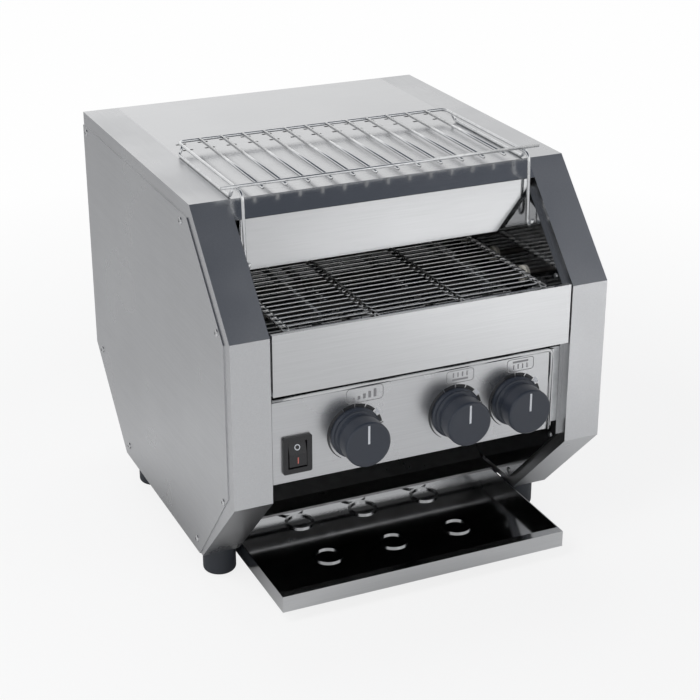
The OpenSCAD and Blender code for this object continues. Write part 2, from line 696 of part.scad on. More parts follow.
// rocker switch: bezel with its body behind the panel, and the rocker in it
bezel_y = panel_y - 2.5;
rocker_size = [16.4, 24.5];
rocker_axis_y = panel_y + 3;
module rocker_bezel() color(BLACK) difference() {
    union() {
        backwards(bezel_y, 2.5) translate(switch_at - switch_size / 2)
            rounded(switch_size, 2);
        box([switch_at[0] - 11 + FIT, switch_at[0] + 11 - FIT],
            [panel_y - EPS, panel_y + 24],
            [switch_at[1] - 15 + FIT, switch_at[1] + 15 - FIT]);
        for (z = [-8, 0, 8]) box([switch_at[0] - 3, switch_at[0] + 3],
            [panel_y + 24 - EPS, panel_y + 32],
            [switch_at[1] + z - 0.4, switch_at[1] + z + 0.4]);
    }
    box([switch_at[0] - 9, switch_at[0] + 9], [bezel_y - 1, panel_y + 14],
        [switch_at[1] - 13, switch_at[1] + 13]);
    rod_x([switch_at[0] - 10.5, switch_at[0] + 10.5],
          [rocker_axis_y, switch_at[1]], 1.5 + FIT);
}
rocker_tilt = 9;                  // each way from the middle
// convex rocker, its upper half pressed in
module rocker() color(BLACK)
    translate([switch_at[0], rocker_axis_y, switch_at[1]])
    rotate([-rocker_tilt, 0, 0]) {
        half = rocker_size[1] / 2 - 0.6;
        ridge = rocker_axis_y - bezel_y + 1;
        end = ridge - half * tan(rocker_tilt);
        translate([-rocker_size[0] / 2, 0, 0]) rotate([90, 0, 90])
            linear_extrude(rocker_size[0]) polygon([
                [5, -7], [5, 7], [-2, half], [-end, half], [-ridge, 0],
                [-end, -half], [-2, -half]]);
        rod_x([-10.3, 10.3], [0, 0], 1.5);
    }

module terminal_block() color(CERAMIC) {
    x = seam_x1 - 80;
    y = base_y[1] - 30;
    difference() {
        box([x, x + 54], [y, y + 18], [sheet_t, sheet_t + 16]);
        for (i = [0:2]) translate([x + 4 + i * 18, y + 4, sheet_t + 10])
            cube([10, 10, 8]);
    }
}
// cable inlet: a gland through the rear panel with its nut
module cable_gland() color(BLACK) difference() {
    union() {
        rod_y([case_d - 9, case_d + gland_reach], gland_at, 8 - FIT);
        rod_y([case_d, case_d + 5], gland_at, 12);
        translate([gland_at[0], case_d + gland_reach - 1, gland_at[1]])
            rotate([90, 0, 0]) cylinder(h = 6, r = 11, $fn = 6);
        translate([gland_at[0], case_d - sheet_t, gland_at[1]])
            rotate([90, 0, 0]) cylinder(h = 5, r = 11.5, $fn = 6);
    }
    rod_y([case_d - 12, case_d + 20], gland_at, 4.6);
}

// -------------------------------------------------------------------- tray
ring_spots = [for (x = [-68, 0, 68], y = [62, 133]) [mid_x + x, y]];
module toast_tray() color(POLISHED) {
    t = sheet_t;
    // floor with a folded front lip and a low rear edge
    across(tray_x[0], tray_x[1] - tray_x[0]) polygon(sheet([
        [tray_y1, tray_floor_z + 7], [tray_y1, tray_floor_z],
        [-tray_reach, tray_floor_z], [-tray_reach, tray_top_z],
        [9 - tray_reach, tray_top_z], [9 - tray_reach, tray_top_z - 3]], -t));
    for (x = [tray_x[0], tray_x[1] - t]) {
        box([x, x + t], [EPS - tray_reach, tray_y1], [tray_floor_z, tray_top_z]);
    }
    for (s = ring_spots) translate([s[0], s[1], tray_floor_z + t - EPS])
        difference() {
            cylinder(h = 1.6, r = 14.5);
            translate([0, 0, -1]) cylinder(h = 5, r = 12);
        }
}
// runner: fixed under the casing, its lower leg carries the tray's edge
module tray_runner() color(ZINC) across_runner();
module across_runner() {
    y = [slant_y + foot_in + foot_d / 2 + 2,
         case_d - slant_y - foot_in - foot_d / 2 - 26];
    box([24, strip_w + 2.5], y, [-1.5, 0]);
    box([strip_w + 1, strip_w + 2.5], y, [tray_floor_z - 1.8, 0]);
    box([strip_w + 1, strip_w + 12], y,
        [tray_floor_z - 1.8, tray_floor_z - GAP]);
}
module tray_runner_left() tray_runner();
module tray_runner_right() mirrored() tray_runner();

// -------------------------------------------------------------------- feet
module foot(y) color(RUBBER) translate([foot_x, y, -foot_h]) difference() {
    rotate_extrude() polygon(concat([[0, 0]],
        arc([foot_d / 2 - 4, 4], 4, -90, 0, 6),
        [[foot_d / 2, foot_h], [0, foot_h]]));
    translate([0, 0, -1]) cylinder(h = foot_h - 9, r = 5);
}
module foot_front_left() foot(slant_y + foot_in);
module foot_front_right() mirrored() foot(slant_y + foot_in);
module foot_rear_left() foot(case_d - slant_y - foot_in);
module foot_rear_right() mirrored() foot(case_d - slant_y - foot_in);

placed() casing_left();
placed() casing_right();
placed() side_plate_left();
placed() side_plate_right();
placed() side_screws();
placed() inner_wall_left();
placed() inner_wall_right();
placed() wall_screws();
placed() top_cover();
placed() hood_plate();
placed() front_band();
placed() control_panel();
placed() control_box();
placed() panel_bracket_left();
placed() panel_bracket_right();
placed() rear_panel();
placed() rear_lower_panel();
placed() rear_screws();
placed() base_panel();
placed() chute();
placed() rear_deflector();
placed() upper_reflector();
placed() upper_elements();
placed() lower_elements();
placed() element_ends();
placed() conveyor_belt();
placed() belt_rails();
placed() front_shaft();
placed() front_sprockets();
placed() rear_shaft();
placed() rear_sprockets();
placed() shaft_bushes();
placed() driven_sprocket();
placed() drive_chain();
placed() motor_sprocket();
placed() gearmotor();
placed() motor_bracket();
placed() wire_rack();
placed() knob_speed();
placed() knob_upper();
placed() knob_lower();
placed() regulator_speed();
placed() regulator_upper();
placed() regulator_lower();
placed() rocker_bezel();
placed() rocker();
placed() terminal_block();
placed() cable_gland();
placed() toast_tray();
placed() tray_runner_left();
placed() tray_runner_right();
placed() foot_front_left();
placed() foot_front_right();
placed() foot_rear_left();
placed() foot_rear_right();
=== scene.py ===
"""Looks of the conveyor toaster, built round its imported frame.

Sizes are millimetres in the part's drawing frame: X across from the left
side, Y back from the front plane, Z up from the underside of the casings.
at() turns such a point into metres in the frame that the nodes stand in.
"""
import math

import bmesh
import bpy
from mathutils import Matrix, Vector


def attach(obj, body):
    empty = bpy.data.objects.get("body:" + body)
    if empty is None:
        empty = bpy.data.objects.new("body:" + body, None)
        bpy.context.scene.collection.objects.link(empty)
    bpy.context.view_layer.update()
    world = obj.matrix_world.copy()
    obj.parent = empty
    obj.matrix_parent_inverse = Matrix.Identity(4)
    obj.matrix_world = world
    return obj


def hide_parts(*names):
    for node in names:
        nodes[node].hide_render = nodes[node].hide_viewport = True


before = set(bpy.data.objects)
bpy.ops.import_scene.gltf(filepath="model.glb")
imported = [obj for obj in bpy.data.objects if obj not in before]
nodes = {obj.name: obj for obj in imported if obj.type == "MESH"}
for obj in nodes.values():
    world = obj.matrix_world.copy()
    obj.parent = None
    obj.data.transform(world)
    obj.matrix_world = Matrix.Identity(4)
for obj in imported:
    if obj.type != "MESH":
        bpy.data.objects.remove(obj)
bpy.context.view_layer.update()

MM = 0.001

# where the drawing frame stands
CASE_W = 368.0
MIDDLE_Y = 202.5
FOOT_H = 28.0

# belt
BELT_X = (54.0, 312.5)
BELT_FRONT_Y = 19.0
BELT_REAR_Y = 319.0
BELT_AXIS_Z = 232.5
BELT_R = 13.5
WIRE_R = 0.95
STRANDS = 72
BELT_JOINTS = (141.0, 225.0)

# controls
PANEL_Y = 10.0
KNOB_FACE_Y = -20.0
KNOB_R = 21.5
KNOBS = {"speed": (119.8, 140.5), "upper": (219.2, 140.5), "lower": (280.6, 140.5)}
KNOB_BODIES = {"speed": "speed_knob", "upper": "upper_heat_knob",
               "lower": "lower_heat_knob"}
SWITCH_AT = (63.9, 130.4)
BEZEL_Y = 7.5
ROCKER_AXIS_Y = 13.0


def at(x, y, z):
    """A point of the drawing frame, in metres in the row frame."""
    return Vector(((x - CASE_W / 2) * MM, (y - MIDDLE_Y) * MM, (z + FOOT_H) * MM))


# ---------------------------------------------------------------- materials
def principled(name, colour, rough, metal=0.0):
    """A material with a Principled shader, and its node tree."""
    material = bpy.data.materials.new(name)
    material.use_nodes = True
    shader = material.node_tree.nodes["Principled BSDF"]
    shader.inputs["Base Color"].default_value = (*colour, 1.0)
    shader.inputs["Roughness"].default_value = rough
    shader.inputs["Metallic"].default_value = metal
    return material, material.node_tree, shader


def noise(tree, scale, stretch=(1, 1, 1), detail=3.0, rough=0.55):
    """Noise on object coordinates, drawn out by stretch."""
    place = tree.nodes.new("ShaderNodeTexCoord")
    mapping = tree.nodes.new("ShaderNodeMapping")
    mapping.inputs["Scale"].default_value = stretch
    texture = tree.nodes.new("ShaderNodeTexNoise")
    texture.inputs["Scale"].default_value = scale
    texture.inputs["Detail"].default_value = detail
    texture.inputs["Roughness"].default_value = rough
    tree.links.new(place.outputs["Object"], mapping.inputs["Vector"])
    tree.links.new(mapping.outputs["Vector"], texture.inputs["Vector"])
    return texture.outputs["Fac"]


def spread(tree, value, low, high):
    """value, which lies round 0.5, mapped to low..high."""
    ramp = tree.nodes.new("ShaderNodeMapRange")
    ramp.inputs["From Min"].default_value = 0.3
    ramp.inputs["From Max"].default_value = 0.7
    ramp.inputs["To Min"].default_value = low
    ramp.inputs["To Max"].default_value = high
    tree.links.new(value, ramp.inputs["Value"])
    return ramp.outputs["Result"]


def tint(tree, value, dark, light):
    """A colour between dark and light by value."""
    mix = tree.nodes.new("ShaderNodeMix")
    mix.data_type = "RGBA"
    mix.inputs["A"].default_value = (*dark, 1.0)
    mix.inputs["B"].default_value = (*light, 1.0)
    tree.links.new(value, mix.inputs["Factor"])
    return mix.outputs["Result"]


def bump(tree, shader, height, distance):
    """Presses a height value into the shader's normal."""
    node = tree.nodes.new("ShaderNodeBump")
    node.inputs["Strength"].default_value = 1.0
    node.inputs["Distance"].default_value = distance
    tree.links.new(height, node.inputs["Height"])
    tree.links.new(node.outputs["Normal"], shader.inputs["Normal"])


def scaled(colour, factor):
    """The colour times factor, held at 1."""
    return tuple(min(1.0, c * factor) for c in colour)


def sheet_steel(name, colour, rough, grain, depth, clouds=0.06):
    """Rolled steel sheet: fine grain along one axis, faint clouds in its gloss."""
    material, tree, shader = principled(name, colour, rough, metal=1.0)
    lines = noise(tree, 900.0, grain, detail=2.0)
    patches = noise(tree, 9.0, detail=4.0)
    links = tree.links
    links.new(tint(tree, spread(tree, lines, 0.0, 1.0), scaled(colour, 0.965),
                   scaled(colour, 1.03)), shader.inputs["Base Color"])
    links.new(spread(tree, patches, rough - clouds, rough + clouds),
              shader.inputs["Roughness"])
    bump(tree, shader, lines, depth * MM)
    return material


def worn_steel(name, colour, dark, rough, scale=60.0):
    """Plated or heated steel with blotches in colour and gloss."""
    material, tree, shader = principled(name, colour, rough, metal=1.0)
    blotches = noise(tree, scale, detail=5.0)
    tree.links.new(tint(tree, spread(tree, blotches, 0.0, 1.0), dark, colour),
                   shader.inputs["Base Color"])
    tree.links.new(spread(tree, blotches, rough + 0.1, rough - 0.06),
                   shader.inputs["Roughness"])
    bump(tree, shader, noise(tree, 1400.0), 0.01 * MM)
    return material


def moulded(name, colour, rough, grain=2200.0, depth=0.02):
    """Moulded plastic or rubber with a fine texture."""
    material, tree, shader = principled(name, colour, rough)
    texture = noise(tree, grain, detail=2.0)
    tree.links.new(tint(tree, noise(tree, 24.0), scaled(colour, 0.9),
                        scaled(colour, 1.1)), shader.inputs["Base Color"])
    tree.links.new(spread(tree, texture, rough - 0.05, rough + 0.05),
                   shader.inputs["Roughness"])
    bump(tree, shader, texture, depth * MM)
    return material


ALONG_Y = (1.0, 0.02, 1.0)
ALONG_X = (0.02, 1.0, 1.0)
STEEL = (0.575, 0.580, 0.590)
BRIGHT = (0.60, 0.605, 0.612)

LOOKS = {
    "casing_steel": sheet_steel("casing_steel", STEEL, 0.30, ALONG_Y, 0.004),
    "sheet_steel": sheet_steel("sheet_steel", STEEL, 0.27, ALONG_X, 0.004),
    "cover_steel": sheet_steel("cover_steel", STEEL, 0.20, ALONG_X, 0.002, 0.03),
    "polished_steel": sheet_steel("polished_steel", BRIGHT, 0.13, ALONG_X, 0.001, 0.03),
    "mirror_steel": sheet_steel("mirror_steel", scaled(BRIGHT, 0.85), 0.10, ALONG_Y,
                                0.0005, 0.02),
    "dark_steel": worn_steel("dark_steel", (0.12, 0.12, 0.125), (0.07, 0.065, 0.06), 0.42),
    # painted shade: the chute's steel is darker than the casing's to stand for the dark
    # interior; its blotches are wear
    "chute_steel_painted_shade": worn_steel("chute_steel_painted_shade", (0.36, 0.36, 0.365), (0.27, 0.27, 0.27), 0.32),
    "zinc_steel": worn_steel("zinc_steel", (0.56, 0.57, 0.58), (0.44, 0.45, 0.46), 0.34),
    "bright_wire": worn_steel("bright_wire", (0.88, 0.89, 0.90), (0.76, 0.77, 0.78), 0.18,
                              200.0),
    "belt_wire": worn_steel("belt_wire", (0.86, 0.86, 0.86), (0.74, 0.74, 0.73), 0.24,
                            60.0),
    "element": worn_steel("element", (0.17, 0.16, 0.15), (0.09, 0.085, 0.08), 0.55, 90.0),
    "knob": moulded("knob", (0.030, 0.036, 0.050), 0.36),
    "black_plastic": moulded("black_plastic", (0.016, 0.016, 0.018), 0.30),
    "rubber": moulded("rubber", (0.024, 0.028, 0.036), 0.50, 900.0, 0.05),
    "ceramic": moulded("ceramic", (0.78, 0.75, 0.68), 0.55, 700.0, 0.05),
    "print_black": moulded("print_black", (0.022, 0.023, 0.026), 0.42, 1500.0, 0.005),
    "print_dark": moulded("print_dark", (0.055, 0.056, 0.060), 0.30, 1500.0, 0.005),
    "print_white": moulded("print_white", (0.66, 0.68, 0.72), 0.45, 1500.0, 0.005),
    "print_grey": moulded("print_grey", (0.30, 0.30, 0.31), 0.45, 1500.0, 0.005),
    "print_red": moulded("print_red", (0.62, 0.16, 0.13), 0.45, 1500.0, 0.005),
}

NODE_LOOKS = {
    "casing_steel": ["casing_left", "casing_right", "side_plate_left",
                     "side_plate_right"],
    "cover_steel": ["top_cover"],
    "sheet_steel": ["control_panel", "rear_panel", "rear_lower_panel",
                    "base_panel"],
    "polished_steel": ["hood_plate", "front_band", "toast_tray", "upper_reflector",
                       "side_screws"],
    "mirror_steel": ["inner_wall_left", "inner_wall_right"],
    "chute_steel_painted_shade": ["chute"],
    "dark_steel": ["rear_deflector", "control_box", "driven_sprocket",
                   "motor_sprocket"],
    "zinc_steel": ["wall_screws", "rear_screws", "panel_bracket_left",
                   "panel_bracket_right", "belt_rails", "front_shaft",
                   "front_sprockets", "rear_shaft", "rear_sprockets", "drive_chain",
                   "gearmotor", "motor_bracket", "tray_runner_left",
                   "tray_runner_right"],
    "bright_wire": ["wire_rack"],
    "belt_wire": ["conveyor_belt"],
    "element": ["upper_elements", "lower_elements"],
    "knob": ["knob_speed", "knob_upper", "knob_lower"],
    "black_plastic": ["regulator_speed", "regulator_upper", "regulator_lower",
                      "rocker_bezel", "rocker", "cable_gland", "shaft_bushes"],
    "rubber": ["foot_front_left", "foot_front_right", "foot_rear_left",
               "foot_rear_right"],
    "ceramic": ["element_ends", "terminal_block"],
}


EDGE_R = 0.5
EDGE_ANGLE = 50


def dress_nodes():
    """Gives each node its look and a fine edge radius."""
    for look, names in NODE_LOOKS.items():
        for name in names:
            piece = nodes[name]
            piece.data.materials.clear()
            piece.data.materials.append(LOOKS[look])
            edge = piece.modifiers.new("edge", "BEVEL")
            edge.width = EDGE_R * MM
            edge.segments = 3
            edge.limit_method = "ANGLE"
            edge.angle_limit = math.radians(EDGE_ANGLE)


# ------------------------------------------------------------------- meshes
def add_piece(name, verts, faces, look, body, smooth=True):
    """A mesh piece that rides on a body."""
    mesh = bpy.data.meshes.new(name)
    mesh.from_pydata([tuple(v) for v in verts], [], faces)
    mesh.validate()
    mesh.materials.append(LOOKS[look])
    piece = bpy.data.objects.new(name, mesh)
    bpy.context.scene.collection.objects.link(piece)
    for polygon in mesh.polygons:
        polygon.use_smooth = smooth
    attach(piece, body)
    return piece


def rounded_path(points, radius, steps=4):
    """The path with each inner corner turned by a short arc-like curve."""
    path = [points[0]]
    for before, corner, after in zip(points, points[1:], points[2:]):
        back = (before - corner)
        on = (after - corner)
        reach = min(radius, 0.48 * back.length, 0.48 * on.length)
        start = corner + back.normalized() * reach
        end = corner + on.normalized() * reach
        for i in range(steps + 1):
            t = i / steps
            path.append(start * (1 - t) ** 2 + corner * 2 * t * (1 - t) + end * t ** 2)
    path.append(points[-1])
    return path


def tube(verts, faces, path, radius, sides=8):
    """Adds a round wire along path to verts and faces, with capped ends."""
    first = len(verts)
    side = None
    for i, point in enumerate(path):
        ahead = path[min(i + 1, len(path) - 1)] - path[max(i - 1, 0)]
        ahead.normalize()
        if side is None:
            side = ahead.orthogonal().normalized()
        side = (side - ahead * side.dot(ahead)).normalized()
        up = ahead.cross(side)
        for k in range(sides):
            a = 2 * math.pi * k / sides
            verts.append(point + radius * (math.cos(a) * side + math.sin(a) * up))
    for i in range(len(path) - 1):
        for k in range(sides):
            a = first + i * sides + k
            b = first + i * sides + (k + 1) % sides
            faces.append((a, b, b + sides, a + sides))
    faces.append(tuple(first + k for k in reversed(range(sides))))
    last = first + (len(path) - 1) * sides
    faces.append(tuple(last + k for k in range(sides)))


# --------------------------------------------------------------------- belt
def belt_loop(s):
    """Point (y, z) of the wire loop at distance s, and its outward normal."""
    run = BELT_REAR_Y - BELT_FRONT_Y
    bend = math.pi * BELT_R
    s %= 2 * (run + bend)
    if s < run:
        return BELT_FRONT_Y + s, BELT_AXIS_Z + BELT_R, math.pi / 2
    if s < run + bend:
        a = math.pi / 2 - (s - run) / BELT_R
        centre = BELT_REAR_Y
    elif s < 2 * run + bend:
        return BELT_REAR_Y - (s - run - bend), BELT_AXIS_Z - BELT_R, -math.pi / 2
    else:
        a = -math.pi / 2 - (s - 2 * run - bend) / BELT_R
        centre = BELT_FRONT_Y
    return centre + BELT_R * math.cos(a), BELT_AXIS_Z + BELT_R * math.sin(a), a


def strand_points():
    """One strand as (x, forward, height): end eyes and Z bends between them."""
    eye_w = 2.7
    eye_l = 10.4
    left = BELT_X[0] + WIRE_R
    right = BELT_X[1] - WIRE_R
    half = [(left + 2 * eye_w, 3.2, 0.9), (left + 2 * eye_w, eye_l - 1.6, 1.3),
            (left + eye_w, eye_l, 1.4), (left, eye_l - 1.6, 1.1), (left, 1.4, 0.1),
            (left + 1.6, 0.0, 0.0)]
    rise = 4.9
    middle = []
    for x in BELT_JOINTS:
        middle += [(x - 4.6, 0.0, 0.0), (x - 3.2, rise, 0.5), (x - 1.5, rise, 0.5),
                   (x + 1.5, -rise, -0.2), (x + 3.2, -rise, -0.2), (x + 4.6, 0.0, 0.0)]
    mirror = [(left + right - x, f, h) for x, f, h in reversed(half)]
    return half + middle + mirror


def make_belt():
    """The wire belt: round strands that follow the loop round the shafts."""
    verts, faces = [], []
    points = [Vector(p) for p in strand_points()]
    flat = rounded_path(points, 1.3, 3)
    length = 2 * (BELT_REAR_Y - BELT_FRONT_Y + math.pi * BELT_R)
    for i in range(STRANDS):
        start = (i + 0.5) * length / STRANDS
        path = []
        for x, forward, height in flat:
            y, z, a = belt_loop(start - forward)
            path.append(at(x, y + height * math.cos(a), z + height * math.sin(a)))
        tube(verts, faces, path, WIRE_R * MM)
    belt = add_piece("belt_strands", verts, faces, "belt_wire", "housing")
    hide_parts("conveyor_belt")


# --------------------------------------------------------------------- rack
RACK_X = (43.2, 322.0)
RACK_Y = (85.0, 241.0)
RACK_Z = 353.0
RACK_R = 1.5
RACK_WIRES = 14
HOOD_Y = 77.0
HOOD_LOW_Z = 281.0
CASE_H = 343.0
# hanger hook and upright: (y from the hood plate, z from the plate's low edge)
HOOK = ((-16, 12), (-12, 4), (-7, 8))
UPRIGHT_Y = HOOD_Y - 4
# how far the front cross wire stands out past the frame, left and right
CROSS_LEFT = 15
CROSS_RIGHT = 17
CROSS_LIFT = 2.4
RUNNER_OUT = 4.2


def make_rack():
    """The wire rack with round bends, hung in front of the hood plate."""
    verts, faces = [], []

    def wire(points, bend=4.0):
        path = rounded_path([at(*p) for p in points], bend * MM, 5)
        tube(verts, faces, path, RACK_R * MM, 12)

    def frame_half(x):
        hook = [(x, HOOD_Y + y, HOOD_LOW_Z + z) for y, z in HOOK]
        return hook + [(x, UPRIGHT_Y, RACK_Z), (x, RACK_Y[1], RACK_Z - 0.6)]

    left, right = RACK_X
    wire(frame_half(left) + frame_half(right)[::-1], 8.0)
    cross_z = RACK_Z + CROSS_LIFT
    wire([(left - CROSS_LEFT, RACK_Y[0], cross_z),
          (right + CROSS_RIGHT, RACK_Y[0], cross_z)])
    pitch = (right - left) / (RACK_WIRES - 1)
    for i in range(1, RACK_WIRES - 1):
        x = left + i * pitch
        wire([(x, RACK_Y[0] - 5, RACK_Z), (x, RACK_Y[1], RACK_Z)])
    low = CASE_H + RACK_R + 0.05
    for side, x in ((left, left - RUNNER_OUT), (right, right + RUNNER_OUT)):
        wire([(side, RACK_Y[1] - 15, RACK_Z), (x, RACK_Y[1] - 15, low),
              (x, RACK_Y[0] + 7, low), (x, RACK_Y[0], cross_z)])
    rack = add_piece("rack_wires", verts, faces, "bright_wire", "housing")
    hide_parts("wire_rack")


# -------------------------------------------------------------------- panel
PANEL_X = (41.3, 320.0)
PANEL_TOP = 187.0
PANEL_LOW = 104.0
BEAD_R = 2.2
BEAD_BEND = 5.0


def make_panel():
    """The control panel, its top cut down to the bead along top and right."""
    plate = nodes["control_panel"]
    mesh = plate.data.copy()
    work = bmesh.new()
    work.from_mesh(mesh)
    turn = plate.matrix_world
    back = turn.inverted()
    bead_z = PANEL_TOP - BEAD_R
    cut = bmesh.ops.bisect_plane(
        work, geom=work.verts[:] + work.edges[:] + work.faces[:],
        plane_co=back @ at(0, 0, bead_z), plane_no=back.to_3x3() @ Vector((0, 0, 1)),
        clear_outer=True)
    rim = [e for e in cut["geom_cut"] if isinstance(e, bmesh.types.BMEdge)]
    bmesh.ops.edgenet_fill(work, edges=rim)
    work.to_mesh(mesh)
    work.free()
    mesh.transform(turn)
    panel = bpy.data.objects.new("control_plate", mesh)
    bpy.context.scene.collection.objects.link(panel)
    mesh.materials.clear()
    mesh.materials.append(LOOKS["sheet_steel"])
    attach(panel, "housing")
    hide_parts("control_panel")
    verts, faces = [], []
    y = PANEL_Y + 0.4
    bead_x = PANEL_X[1] - BEAD_R
    corners = [at(PANEL_X[0], y, bead_z), at(bead_x, y, bead_z), at(bead_x, y, PANEL_LOW)]
    tube(verts, faces, rounded_path(corners, BEAD_BEND * MM, 6), BEAD_R * MM, 16)
    bead = add_piece("panel_bead", verts, faces, "polished_steel", "housing")


# ----------------------------------------------------------- prints and marks
PRINT_T = 0.12


def panel_print(name, outlines, look, body="housing", y=PANEL_Y, tilt=None):
    """Flat marks of PRINT_T on a face that looks to the front.

    outlines are convex polygons of (x, z); y is the face's place.
    """
    verts, faces = [], []
    for outline in outlines:
        first = len(verts)
        n = len(outline)
        for depth in (0.0, -PRINT_T):
            for x, z in outline:
                verts.append(at(x, y + depth, z))
        faces.append(tuple(first + n + k for k in range(n)))
        faces.append(tuple(first + k for k in reversed(range(n))))
        for k in range(n):
            b = (k + 1) % n
            faces.append((first + k, first + b, first + n + b, first + n + k))
    if tilt:
        verts = [tilt @ v for v in verts]
    return add_piece(name, verts, faces, look, body, smooth=False)


def polar(centre, r, clock):
    """Point at radius r from centre; clock is degrees clockwise from the top."""
    a = math.radians(clock)
    return centre[0] + r * math.sin(a), centre[1] + r * math.cos(a)


def ring_piece(centre, r0, r1, clock0, clock1, steps=3):
    """Convex pieces of a ring between two radii and two clock angles."""
    quads = []
    for i in range(steps):
        a = clock0 + (clock1 - clock0) * i / steps
        b = clock0 + (clock1 - clock0) * (i + 1) / steps
        quads.append([polar(centre, r0, a), polar(centre, r0, b),
                      polar(centre, r1, b), polar(centre, r1, a)])
    return quads


DIAL_R = 27.0
DIAL_FROM = -150.0
DIAL_TO = -28.0
BLOCKS = ((-26.0, -2.0), (1.0, 22.0), (24.5, 46.0), (62.0, 78.0))


def make_dial(name, centre):
    """Ring that grows clockwise into four blocks, with its index and a tick."""
    quads = []
    steps = 26
    for i in range(steps):
        start = DIAL_FROM + (DIAL_TO - DIAL_FROM) * i / steps
        end = DIAL_FROM + (DIAL_TO - DIAL_FROM) * (i + 1) / steps
        deep = 0.4 + 4.2 * (i + 0.5) / steps
        quads += ring_piece(centre, DIAL_R - deep, DIAL_R, start, end, 1)
    panel_print("dial_ring_" + name, quads, "print_dark")
    quads = []
    for start, end in BLOCKS:
        quads += ring_piece(centre, DIAL_R - 5.2, DIAL_R, start, end, 4)
    panel_print("dial_blocks_" + name, quads, "print_black")
    outer = DIAL_R + 1.6
    index = [polar(centre, outer, 47.0), polar(centre, outer, 61.0),
             polar(centre, DIAL_R - 4.4, 54.0)]
    panel_print("dial_index_" + name, [index], "print_white")
    tick = ring_piece(centre, DIAL_R - 4.0, DIAL_R + 1.0, 80.0, 82.0, 1)
    panel_print("dial_tick_" + name, tick, "print_black")


def make_pointer(name, centre):
    """White line set in the knob's groove."""
    groove = KNOB_FACE_Y + 0.6
    x, z = centre
    line = [(x - 1.0, z + 1.2), (x + 1.0, z + 1.2), (x + 1.0, z + KNOB_R - 2.8),
            (x - 1.0, z + KNOB_R - 2.8)]
    panel_print("pointer_" + name, [line[::-1]], "print_white", KNOB_BODIES[name],
                groove - 0.35)


def frame_outline(centre, size, radius, line):
    """Thin rounded frame as convex pieces."""
    cx, cz = centre
    hw, hh = size[0] / 2, size[1] / 2
    quads = []
    corners = [(1, 1, 0), (1, -1, 90), (-1, -1, 180), (-1, 1, 270)]
    for sx, sz, turn in corners:
        middle = (cx + sx * (hw - radius), cz + sz * (hh - radius))
        quads += ring_piece(middle, radius - line, radius, turn, turn + 90, 4)
    for s in (1, -1):
        x0, x1 = cx - hw + radius, cx + hw - radius
        z0, z1 = sorted((cz + s * hh, cz + s * (hh - line)))
        quads.append([(x0, z1), (x1, z1), (x1, z0), (x0, z0)])
        z0, z1 = cz - hh + radius, cz + hh - radius
        x0, x1 = sorted((cx + s * hw, cx + s * (hw - line)))
        quads.append([(x0, z1), (x1, z1), (x1, z0), (x0, z0)])
    return quads


def bar(x0, x1, z0, z1):
    """Upright rectangle as a convex piece."""
    return [(x0, z1), (x1, z1), (x1, z0), (x0, z0)]


def make_labels():
    """Outlined fields over the knobs, each with a plain pictogram."""
    speed = (129.4, 175.4)
    upper = (223.6, 175.2)
    lower = (285.6, 175.2)
    quads = frame_outline(speed, (36, 14.4), 4, 0.6)
    for i in range(5):
        x = speed[0] - 11 + 5.2 * i
        h = 1.0 + 0.9 * i
        quads.append(bar(x - 1.3, x + 1.3, speed[1] - 4.2, speed[1] - 4.2 + h * 1.7))
    for centre, side in ((upper, 1), (lower, -1)):
        x, z = centre
        quads += frame_outline(centre, (28, 12.6), 3, 0.6)
        quads.append(bar(x - 8, x + 8, z - side * 3.0 - 0.9, z - side * 3.0 + 0.9))
        foot, head = (-0.6, 4.0) if side > 0 else (-4.0, 0.6)
        for i in range(4):
            mark = x - 6.9 + 4.6 * i
            quads.append(bar(mark - 0.6, mark + 0.6, z + foot, z + head))
    panel_print("panel_fields", quads, "print_grey")


def make_switch_marks():
    """O and I on the two halves of the rocker, which lies tilted at rest."""
    tilt_deg = 9.0
    axis = at(SWITCH_AT[0], ROCKER_AXIS_Y, SWITCH_AT[1])
    rest = (Matrix.Translation(axis) @ Matrix.Rotation(math.radians(-tilt_deg), 4, "X")
            @ Matrix.Translation(-axis))
    ridge_y = BEZEL_Y - 1.0
    lean = math.radians(tilt_deg)
    top = (SWITCH_AT[0], SWITCH_AT[1] + 6.2)
    low = (SWITCH_AT[0], SWITCH_AT[1] - 6.2)
    ridge = at(SWITCH_AT[0], ridge_y, SWITCH_AT[1])

    def on_half(sign):
        turn = Matrix.Rotation(-sign * lean, 4, "X")
        return rest @ Matrix.Translation(ridge) @ turn @ Matrix.Translation(-ridge)

    panel_print("rocker_mark_off", ring_piece(top, 1.9, 2.7, 0, 360, 20), "print_white",
                "rocker", ridge_y, on_half(1))
    stroke = bar(low[0] - 0.5, low[0] + 0.5, low[1] - 3, low[1] + 3)
    panel_print("rocker_mark_on", [stroke], "print_red", "rocker", ridge_y, on_half(-1))


# ------------------------------------------------------------ light and view
FLOOR_SIZE = 9.0


